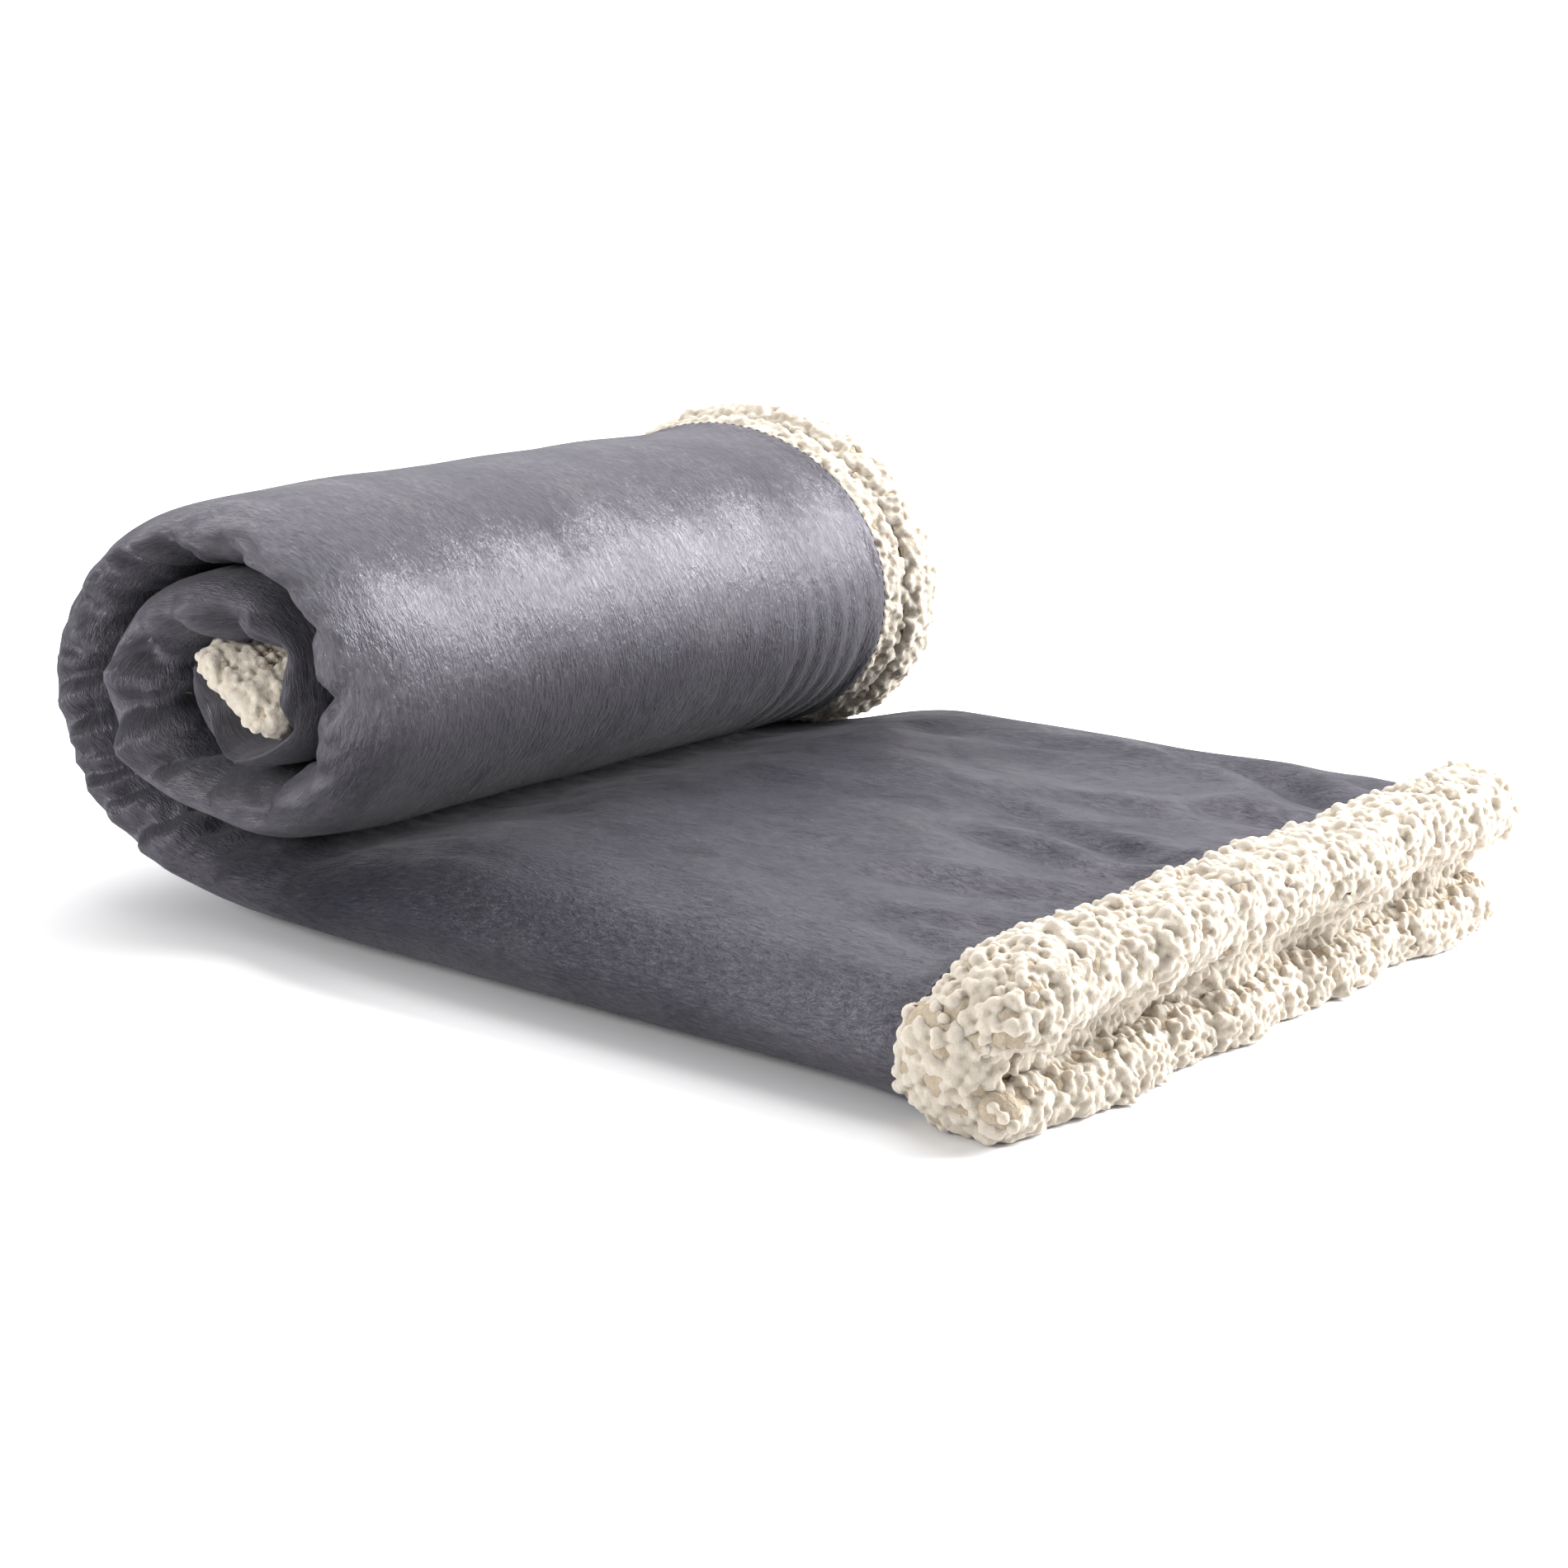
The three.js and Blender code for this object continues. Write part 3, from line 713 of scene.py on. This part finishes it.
def pile(name, edge, t0, t1, s0, s1, seed, gap=0.0029, size=(0.0024, 0.0056), clump=0.0038, lean=0.4, slim=1.0, lie=1.0, stray=1.0, comb=0.0, step=0.0011, voxel=0.00066, rounds=2):
    """The curled pile over a stretch of edge: a lumpy ground and, sunk into it, the curls."""
    sign = skin_sign(edge, (t0 + t1) / 2, 1)
    # the ground
    nt, ns = max(3, int(round((t1 - t0) / step)) + 1), max(3, int(round((s1 - s0) / step)) + 1)
    T, S = np.meshgrid(np.linspace(t0, t1, nt), np.linspace(s0, s1, ns))
    P, dt, ds, N = skin_axes(edge, T, S, sign)

    def rise(T, S):
        h, mt, mq = mounds(T, S, CLUMP, CLUMP_SIZE, seed % 7 + 40, 0.45)
        fade = smooth((s1 - S) / 0.004) * smooth((S - s0) / 0.004)
        return clump * slim * np.clip(h, 0, 1.5) * (0.3 + 0.7 * fade), mt, mq

    up, _, _ = rise(T, S)
    Q = above_floor(P + N * (up + 0.0013 * slim + 0.0005 * waves(T, S, 0.0036, seed + 5, 12))[..., None])
    ground = new_mesh(name.replace("curls", "ground"), Q.reshape(-1, 3), [grid_quads(nt, ns)])
    mid = (ns // 2) * (nt - 1) + nt // 2
    if ground.data.polygons[mid].normal.dot(Vector(N[ns // 2, nt // 2])) < 0:
        ground.data.flip_normals()
    # the curls: evenly spread over the pile's outside, so closer together at its root where the edge turns
    g = np.random.default_rng(seed)
    out0 = -(OUT_ARC + (-s0 - NOSE_ARC)) if s0 < -NOSE_ARC else s0
    out1 = OUT_ARC + (s1 - NOSE_ARC) if s1 > NOSE_ARC else s1
    if s0 > NOSE_ARC:
        out0 = OUT_ARC + (s0 - NOSE_ARC)
    ni, nj = max(1, int(round((t1 - t0) / gap))), max(1, int(round((out1 - out0) / (gap * 0.9))))
    i, j = np.meshgrid(np.arange(ni), np.arange(nj))
    t = (t0 + (i + 0.5 + 0.5 * (j % 2) - 0.25 + g.uniform(-0.36, 0.36, i.shape)) / ni * (t1 - t0)).ravel()
    o = (out0 + (j + 0.5 + g.uniform(-0.36, 0.36, i.shape)) / nj * (out1 - out0)).ravel()
    q = np.where(np.abs(o) < OUT_ARC, o * NOSE_ARC / OUT_ARC, o - np.sign(o) * (OUT_ARC - NOSE_ARC))
    t, q = np.clip(t, t0, t1), np.clip(q, s0, s1)
    P, dt, ds, N = skin_axes(edge, t, q, sign)
    up, mt, mq = rise(t, q)
    far = np.hypot(mt, mq)
    k = np.clip(far / 0.0045, 0, 1)
    a = g.uniform(0, 2 * math.pi, len(t))
    wt = -mt / (far + 1e-9) * k * (1 - comb) + 0.55 * stray * np.cos(a)
    wq = -mq / (far + 1e-9) * k * (1 - comb) + 0.55 * stray * np.sin(a) - lean - comb
    Z = unit(N + (dt * wt[:, None] + ds * wq[:, None]) * lie)
    X = unit(np.cross(N, Z) + 1e-4)
    Y = np.cross(Z, X)
    L = size[1] * slim ** 0.5 * g.uniform(0.72, 1.32, len(t))
    Wd = size[0] * slim ** 0.5 * g.uniform(0.76, 1.34, len(t))
    kind = g.integers(0, len(KINDS), len(t))
    base = P + N * (up - 0.0004)[:, None] - Z * (0.30 * L)[:, None]
    own = g.uniform(0, 1, len(t))
    Vs, Ts, Os, F3, F4, off = [], [], [], [], [], 0
    for kk, (pts, tips, tri, quad) in enumerate(KINDS):
        w = np.nonzero(kind == kk)[0]
        if not len(w):
            continue
        m = len(pts)
        Vs.append((base[w][:, None] + X[w][:, None] * (pts[None, :, 0:1] * Wd[w][:, None, None]) + Y[w][:, None] * (pts[None, :, 1:2] * Wd[w][:, None, None])
                   + Z[w][:, None] * (pts[None, :, 2:3] * L[w][:, None, None])).reshape(-1, 3))
        Ts.append(np.tile(tips, len(w)))
        Os.append(np.repeat(own[w], m))
        o_ = off + m * np.arange(len(w))[:, None, None]
        F3.append((tri[None] + o_).reshape(-1, 3))
        F4.append((quad[None] + o_).reshape(-1, 4))
        off += m * len(w)
    ob = new_mesh(name, above_floor(np.concatenate(Vs)), [np.concatenate(F3), np.concatenate(F4)])
    melt(ob, voxel, rounds)
    print(name, len(t), len(ob.data.polygons), len(ground.data.polygons))
    GROUNDS.append(ground)
    CURLS.append(ob)


def melt(ob, voxel, rounds=3):
    """Joins the curls of one piece where they touch, as matted wool does, and marks how far each point stands out."""
    m = ob.modifiers.new("melt", "REMESH")
    m.mode = "VOXEL"
    m.voxel_size = voxel
    m.use_smooth_shade = True
    dg = bpy.context.evaluated_depsgraph_get()
    me = bpy.data.meshes.new_from_object(ob.evaluated_get(dg))
    old = ob.data
    ob.modifiers.clear()
    ob.data = me
    bpy.data.meshes.remove(old)
    me.name = ob.name
    n = len(me.vertices)
    co = np.empty(n * 3, np.float64)
    me.vertices.foreach_get("co", co)
    co = co.reshape(-1, 3)
    ed = np.empty(len(me.edges) * 2, np.int64)
    me.edges.foreach_get("vertices", ed)
    ed = ed.reshape(-1, 2)
    a, b = np.concatenate([ed[:, 0], ed[:, 1]]), np.concatenate([ed[:, 1], ed[:, 0]])
    deg = np.bincount(a, minlength=n)[:, None] + 1e-9

    def relax(p, k, f=0.5):
        for _ in range(k):
            q = np.stack([np.bincount(a, p[b, i], n) for i in range(3)], -1) / deg
            p = p + f * (q - p)
        return p

    co = relax(co, rounds)
    me.vertices.foreach_set("co", above_floor(co.copy()).astype(np.float32).ravel())
    me.update()
    no = np.empty(n * 3, np.float32)
    me.vertices.foreach_get("normal", no)
    # how deep each point lies among the curls; the curls' colour is darkened by it in the creases, as painted shade
    d = ((relax(co, 14) - co) * no.reshape(-1, 3)).sum(1)
    crease_shade_level = np.clip(0.66 - d / 0.0011, 0, 1)
    me.polygons.foreach_set("use_smooth", np.ones(len(me.polygons), bool))
    add_float(ob, "crease_shade_level", crease_shade_level)
    add_float(ob, "tuft", np.full(n, 1.0))


CURLS, GROUNDS = [], []
top_s = BORDER + 0.0008 + NOSE_ARC - NOSE
# the free end: the top layer and its fold, then the lowest layer and the two between
long = [U_A[1] + 0.045 + (U_A[3] - 0.13 - U_A[1] - 0.045) * k / 2 for k in range(3)]
for k in (0, 1):
    pile(f"sherpa_curls_end_top_{k + 1}", "end", long[k] - 0.0004 * k, long[k + 1], -0.012, top_s, 71 + 7 * k)
pile("sherpa_curls_end_fold", "end", U_A[1] - 0.05, U_A[1] + 0.0455, -0.012, top_s, 72)
loop = [U_A[3] - 0.1305 + (U_A[4] + 0.1505 - U_A[3]) * k / 2 for k in range(3)]
for k in (0, 1):
    pile(f"sherpa_curls_end_loop_{k + 1}", "end", loop[k] - 0.0004 * k, loop[k + 1], -0.012, top_s, 73 + 7 * k)
pile("sherpa_curls_end_low", "end", 0.0005, U_A[1] - 0.0495, -0.012, 0.020, 74, lean=0.3, comb=0.75, stray=0.55, size=(0.0019, 0.0070), voxel=0.00074)
pile("sherpa_curls_end_second", "end", U_A[4] + 0.0195, U_A[5] + 0.01, -0.010, 0.015, 75, slim=0.85, comb=0.3, voxel=0.00076)
pile("sherpa_curls_end_third", "end", U_A[5] + 0.0095, U - 0.0005, -0.010, 0.015, 76, slim=0.85, voxel=0.00078)
# the border that shows round the roll's far end: two bands
rim = (FLAT - 0.10, v_at(math.radians(150)), v_at(math.radians(352)))
for k in (0, 1):
    pile(f"sherpa_curls_rim_outer_{k + 1}", "low", rim[k], rim[k + 1], -0.010, 0.0222, 81 + 7 * k, clump=0.0016, slim=0.9, voxel=0.00075)
    pile(f"sherpa_curls_rim_inner_{k + 1}", "low", rim[k], rim[k + 1], 0.0228, top_s, 82 + 7 * k, clump=0.0006, slim=0.7, gap=0.0030, voxel=0.00075)
# the open long sides along the rest of the strip
pile("sherpa_curls_side_flat", "low", 0.012, FLAT - 0.0995, -0.009, 0.010, 83, gap=0.0042, size=(0.0028, 0.0064), step=0.002, voxel=0.0011, rounds=2)
pile("sherpa_curls_side_upper", "high", 0.012, V - 0.012, -0.009, 0.010, 84, gap=0.0046, size=(0.0030, 0.0066), step=0.002, voxel=0.0012, rounds=2)
pile("sherpa_curls_side_wound", "low", v_at(math.radians(352)) - 0.0005, V - 0.012, -0.009, 0.012, 85, gap=0.0044, size=(0.0029, 0.0066), step=0.002, voxel=0.0011, rounds=2)
# the inner end, in the roll's core
pile("sherpa_curls_core", "inner", U_A[1] - 0.05, U_A[2] + 0.06, -0.011, top_s, 86, clump=0.0012, lean=0.2, slim=0.85)


# ---------------------------------------------------------------- stitches
def stitches(name, u, v, along_u):
    """A row of short raised stitches through the hem."""
    n = len(u)
    half = 0.00165
    h = 0.0006
    # on the hem of the plush, close to the seam
    p = [warp(np.clip(u + (s * half if along_u else 0), 0, U), np.clip(v + (0 if along_u else s * half), 0, V), top + lift)
         for s, lift in ((-1, -0.0007), (-0.45, 0.0004), (0.45, 0.0004), (1, -0.0007))]
    nrm = warp(u, v, top + 0.001) - warp(u, v, top)
    nrm /= np.linalg.norm(nrm, axis=1, keepdims=True)
    run = p[3] - p[0]
    run /= np.linalg.norm(run, axis=1, keepdims=True) + 1e-12
    side = np.cross(nrm, run)
    side /= np.linalg.norm(side, axis=1, keepdims=True) + 1e-12
    rad = (0.00010, 0.00024, 0.00024, 0.00010)
    K = 6
    verts = np.zeros((n, 4 * K, 3))
    for r in range(4):
        for k in range(K):
            a = 2 * math.pi * k / K
            verts[:, r * K + k] = p[r] + rad[r] * (math.cos(a) * nrm + math.sin(a) * side)
    quad = [(r * K + k, r * K + (k + 1) % K, (r + 1) * K + (k + 1) % K, (r + 1) * K + k) for r in range(3) for k in range(K)]
    caps = [tuple(range(K))[::-1], tuple(range(3 * K, 4 * K))]
    o = 4 * K * np.arange(n)[:, None, None]
    ob = new_mesh(name, verts.reshape(-1, 3), [(np.array(quad)[None] + o).reshape(-1, 4), (np.array(caps)[None] + o).reshape(-1, K)])
    return ob


PITCH = 0.0043
HEM = BORDER + 0.0026
vrow = np.arange(HEM + 0.002, V - HEM - 0.002, PITCH)
urow = np.arange(HEM + 0.002, U - HEM - 0.002, PITCH)
st_side_lower = stitches("stitching_side_lower", np.full(len(vrow), HEM), vrow, False)
st_side_upper = stitches("stitching_side_upper", np.full(len(vrow), U - HEM), vrow, False)
st_free_end = stitches("stitching_free_end", urow, np.full(len(urow), HEM), True)
st_inner_end = stitches("stitching_inner_end", urow, np.full(len(urow), V - HEM), True)
STITCHES = [st_side_lower, st_side_upper, st_free_end, st_inner_end]


# --------------------------------------------------------------- materials
class Mat:
    def __init__(self, name):
        self.m = bpy.data.materials.new(name)
        self.m.use_nodes = True
        self.t = self.m.node_tree
        self.t.nodes.clear()
        self.out = self.t.nodes.new("ShaderNodeOutputMaterial")
        self.b = self.t.nodes.new("ShaderNodeBsdfPrincipled")
        self.link(self.b.outputs[0], self.out.inputs["Surface"])

    def link(self, a, b):
        self.t.links.new(a, b)

    def node(self, kind, **ins):
        n = self.t.nodes.new(kind)
        for k, v in ins.items():
            n.inputs[k.replace("_", " ")].default_value = v
        return n

    def attr(self, name):
        n = self.t.nodes.new("ShaderNodeAttribute")
        n.attribute_name = name
        return n

    def scaled(self, vec, scale):
        n = self.t.nodes.new("ShaderNodeMapping")
        n.inputs["Scale"].default_value = scale
        self.link(vec, n.inputs["Vector"])
        return n.outputs[0]

    def noise(self, vec, scale, detail=2.0, rough=0.5, distortion=0.0):
        n = self.t.nodes.new("ShaderNodeTexNoise")
        n.inputs["Scale"].default_value = scale
        n.inputs["Detail"].default_value = detail
        n.inputs["Roughness"].default_value = rough
        n.inputs["Distortion"].default_value = distortion
        self.link(vec, n.inputs["Vector"])
        return n.outputs["Fac"]

    def math(self, op, a, b=None, clamp=False):
        n = self.t.nodes.new("ShaderNodeMath")
        n.operation = op
        n.use_clamp = clamp
        for i, x in enumerate((a, b)):
            if x is None:
                continue
            if isinstance(x, (int, float)):
                n.inputs[i].default_value = x
            else:
                self.link(x, n.inputs[i])
        return n.outputs[0]

    def remap(self, x, a, b, c=0.0, d=1.0):
        n = self.t.nodes.new("ShaderNodeMapRange")
        n.inputs["From Min"].default_value = a
        n.inputs["From Max"].default_value = b
        n.inputs["To Min"].default_value = c
        n.inputs["To Max"].default_value = d
        self.link(x, n.inputs["Value"])
        return n.outputs[0]

    def ramp(self, x, stops):
        n = self.t.nodes.new("ShaderNodeValToRGB")
        e = n.color_ramp.elements
        e[0].position, e[0].color = stops[0][0], (*stops[0][1], 1)
        e[1].position, e[1].color = stops[-1][0], (*stops[-1][1], 1)
        for p, c in stops[1:-1]:
            q = e.new(p)
            q.color = (*c, 1)
        self.link(x, n.inputs["Fac"])
        return n.outputs["Color"]

    def bump(self, height, distance, strength=1.0, normal=None):
        n = self.t.nodes.new("ShaderNodeBump")
        n.inputs["Distance"].default_value = distance
        n.inputs["Strength"].default_value = strength
        self.link(height, n.inputs["Height"])
        if normal is not None:
            self.link(normal, n.inputs["Normal"])
        return n.outputs[0]

    def set(self, **ins):
        for k, v in ins.items():
            s = self.b.inputs[k.replace("_", " ")]
            if isinstance(v, bpy.types.NodeSocket):
                self.link(v, s)
            else:
                s.default_value = v


def lin(r, g, b):
    """sRGB 0-255 to linear."""
    return tuple(((c / 255) / 12.92 if c <= 10 else (((c / 255) + 0.055) / 1.055) ** 2.4) for c in (r, g, b))


# plush: short brushed pile. The nap leans along the cloth, and was brushed this way and that.
mp = Mat("plush_brushed_grey")
cut = mp.attr("cut").outputs["Vector"]
patch_ = mp.noise(mp.scaled(cut, (19, 11, 1)), 1.0, 4.0, 0.62, 0.9)
patch2 = mp.noise(mp.scaled(cut, (70, 34, 1)), 1.0, 4.0, 0.65, 1.2)
grain = mp.noise(mp.scaled(cut, (640, 190, 1)), 1.0, 3.0, 0.65, 0.5)
hairs = mp.noise(mp.scaled(cut, (2200, 500, 1)), 1.0, 2.0, 0.6)
brush = mp.math("ADD", mp.math("MULTIPLY", patch_, 0.60), mp.math("MULTIPLY", patch2, 0.40))
split = mp.t.nodes.new("ShaderNodeSeparateXYZ")
mp.link(cut, split.inputs[0])
# laid is 0 on the flat stretch and 1 on the roll. It tilts the flat's nap the other way, and below it darkens the
# flat's colour as painted shade
laid = mp.remap(split.outputs[1], FLAT - 0.05, FLAT + 0.05)      # the flat stretch was brushed the other way
brush_tone_and_shade = mp.math("ADD", mp.math("MULTIPLY", brush, 0.55), mp.math("MULTIPLY", grain, 0.45))
# painted shade: the flat stretch's colour is darkened, more towards the roll, standing in for the roll's shadow and
# the nap turned from the light
brush_tone_and_shade = mp.math("ADD", brush_tone_and_shade, mp.math("MULTIPLY", mp.math("SUBTRACT", laid, 1.0), mp.remap(split.outputs[1], 0.06, 0.24, 0.14, 0.34)))
mp.set(
    Base_Color=mp.ramp(brush_tone_and_shade, [(0.02, lin(40, 40, 47)), (0.10, lin(48, 48, 55)), (0.20, lin(58, 57, 63)), (0.33, lin(76, 74, 80)), (0.50, lin(96, 94, 100)), (0.68, lin(122, 119, 123))]),
    Metallic=0.55,
    Roughness=mp.remap(brush, 0.35, 0.65, 0.44, 0.34),
    Specular_IOR_Level=0.2,
    Specular_Tint=(0.25, 0.25, 0.27, 1),
    Anisotropic=0.75,
    Sheen_Weight=0.12,
    Sheen_Roughness=0.4,
    Sheen_Tint=(0.78, 0.78, 0.84, 1),
)
tan = mp.t.nodes.new("ShaderNodeTangent")
tan.direction_type = "UV_MAP"
tan.uv_map = "OFBake"
mp.set(Tangent=tan.outputs[0])
nx = mp.remap(patch2, 0.3, 0.7, 0.42, 0.58)
ny = mp.math("ADD", mp.remap(brush, 0.34, 0.66, 0.45, 0.57), mp.math("MULTIPLY", laid, 0.08))
comb = mp.t.nodes.new("ShaderNodeCombineXYZ")
mp.link(nx, comb.inputs[0])
mp.link(ny, comb.inputs[1])
comb.inputs[2].default_value = 0.97
nm = mp.t.nodes.new("ShaderNodeNormalMap")
nm.uv_map = "OFBake"
nm.inputs["Strength"].default_value = 1.0
mp.link(comb.outputs[0], nm.inputs["Color"])
nb = mp.bump(patch2, 0.0012, 0.4, nm.outputs[0])
nb = mp.bump(grain, 0.0011, 0.8, nb)
nb = mp.bump(hairs, 0.0004, 0.7, nb)
mp.set(Normal=nb)

# sherpa: cream curled pile
ms = Mat("sherpa_curls_painted_shade")
crease_shade_level = ms.attr("crease_shade_level").outputs["Fac"]
tuft = ms.attr("tuft").outputs["Fac"]
geo = ms.t.nodes.new("ShaderNodeTexCoord").outputs["Object"]
fine = ms.noise(ms.scaled(geo, (1, 1, 1)), 1500.0, 3.0, 0.6)
lump = ms.noise(geo, 700.0, 3.0, 0.6)
# painted shade: the cream darkens to tan where a point lies deep in a crease between the curls
level = ms.math("ADD", ms.math("MULTIPLY", crease_shade_level, 0.90), ms.math("MULTIPLY", lump, 0.14))
shade = ms.ramp(level, [(0.05, lin(170, 155, 135)), (0.34, lin(181, 169, 153)), (0.60, lin(185, 176, 162)), (0.92, lin(188, 180, 168))])
mix = ms.t.nodes.new("ShaderNodeMix")
mix.data_type = "RGBA"
mix.blend_type = "MULTIPLY"
mix.inputs["Factor"].default_value = 1.0
ms.link(shade, mix.inputs[6])
ms.link(ms.ramp(tuft, [(0.0, (0.965, 0.955, 0.94)), (1.0, (1.0, 1.0, 1.0))]), mix.inputs[7])
ms.set(
    Base_Color=mix.outputs[2], Roughness=0.9, Specular_IOR_Level=0.12, Sheen_Weight=0.2, Sheen_Roughness=0.6,
    Sheen_Tint=(1.0, 0.97, 0.92, 1), Subsurface_Weight=0.6, Subsurface_Radius=(1.0, 0.82, 0.66), Subsurface_Scale=0.0032,
)
ms.set(Normal=ms.bump(fine, 0.00035, 0.7, ms.bump(lump, 0.0007, 0.7)))

# sherpa ground and back: the cream is painted darker, to the curls' crease colour, as painted shade where the ground
# lies sunk among the curls
mb = Mat("sherpa_ground_painted_shade")
geo = mb.t.nodes.new("ShaderNodeTexCoord").outputs["Object"]
lump = mb.noise(geo, 420.0, 4.0, 0.65)
mb.set(
    Base_Color=mb.ramp(lump, [(0.3, lin(168, 153, 132)), (0.7, lin(182, 169, 151))]), Roughness=0.9, Specular_IOR_Level=0.15,
)
mb.set(Normal=mb.bump(lump, 0.002, 0.8))

mt = Mat("thread_grey")
mt.set(Base_Color=(*lin(74, 75, 84), 1), Roughness=0.6, Specular_IOR_Level=0.4, Sheen_Weight=0.2)
geo = mt.t.nodes.new("ShaderNodeTexCoord").outputs["Object"]
mt.set(Normal=mt.bump(mt.noise(geo, 3000.0, 1.0), 0.0001, 0.6))

for o, m in [(plush, mp), (sherpa, mb)] + [(c, ms) for c in CURLS] + [(c, mb) for c in GROUNDS] + [(s, mt) for s in STITCHES]:
    o.data.materials.clear()
    o.data.materials.append(m.m)

# ------------------------------------------------------------ declarations
for o in [plush, sherpa] + CURLS + GROUNDS + STITCHES:
    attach(o, "root")
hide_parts("plush_face")
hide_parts("sherpa_back")
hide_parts("thread_side_lower")
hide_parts("thread_side_upper")
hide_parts("thread_free_end")
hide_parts("thread_inner_end")

# ------------------------------------------------------------------- stage
bpy.ops.mesh.primitive_plane_add(size=14, location=(0, 0, 0))
floor = bpy.context.object
floor.name = "floor"
mf = Mat("floor_white")
mf.set(Base_Color=(0.86, 0.86, 0.87, 1), Roughness=0.75, Specular_IOR_Level=0.15)
floor.data.materials.append(mf.m)

bpy.ops.mesh.primitive_plane_add(size=1, location=(-4.0, 6.4, 0.6), rotation=(math.radians(90), 0, math.radians(33)))
wall = bpy.context.object
wall.name = "backdrop_wall"
wall.scale = (16, 1.3, 1)
mw = Mat("backdrop_white")
mw.set(Base_Color=(0.9, 0.9, 0.9, 1), Roughness=0.9, Emission_Color=(1, 1, 1, 1), Emission_Strength=0.9)
wall.data.materials.append(mw.m)

world = bpy.data.worlds.new("studio")
bpy.context.scene.world = world
world.use_nodes = True
bg = world.node_tree.nodes["Background"]
bg.inputs["Color"].default_value = (1, 1, 1, 1)
bg.inputs["Strength"].default_value = 0.52


def lamp(name, at, to, size, power, color=(1, 1, 1)):
    d = bpy.data.lights.new(name, "AREA")
    d.shape = "RECTANGLE"
    d.size, d.size_y = size
    d.energy = power
    d.color = color
    o = bpy.data.objects.new(name, d)
    bpy.context.scene.collection.objects.link(o)
    o.location = at
    o.rotation_euler = (Vector(to) - Vector(at)).to_track_quat("-Z", "Y").to_euler()
    return o


lamp("key_back_right", (0.85, 1.05, 0.80), (-0.02, 0, 0.10), (0.58, 1.2), 66)
lamp("over", (-0.6, 0.3, 1.9), (0, 0, 0), (1.4, 1.4), 22)
lamp("front_left", (-0.9, -2.2, 0.95), (-0.05, -0.1, 0.06), (0.8, 0.8), 44)
lamp("backdrop", (-2.2, 3.4, 3.2), (-2.4, 4.2, 0), (5, 4), 230)

# ------------------------------------------------------------------ camera
AZ, EL, ROLL = math.radians(33.497), math.radians(13.3781), math.radians(3.1368)
back = Vector((math.sin(AZ) * math.cos(EL), -math.cos(AZ) * math.cos(EL), math.sin(EL)))
right = Vector((math.cos(AZ), math.sin(AZ), 0))
up = back.cross(right)
R = right * math.cos(ROLL) + up * math.sin(ROLL)
Up = -right * math.sin(ROLL) + up * math.cos(ROLL)
cam = bpy.data.cameras.new("camera")
cam.sensor_width = 36
cam.lens = 36 * 4475.6 / 1900
cam.clip_end = 60
cam_ob = bpy.data.objects.new("camera", cam)
bpy.context.scene.collection.objects.link(cam_ob)
cam_ob.matrix_world = Matrix(((R.x, Up.x, back.x, 0.7774), (R.y, Up.y, back.y, -1.1675), (R.z, Up.z, back.z, 0.3839), (0, 0, 0, 1)))
bpy.context.scene.camera = cam_ob
bpy.context.scene.view_settings.view_transform = "Standard"
bpy.context.scene.view_settings.look = "None"
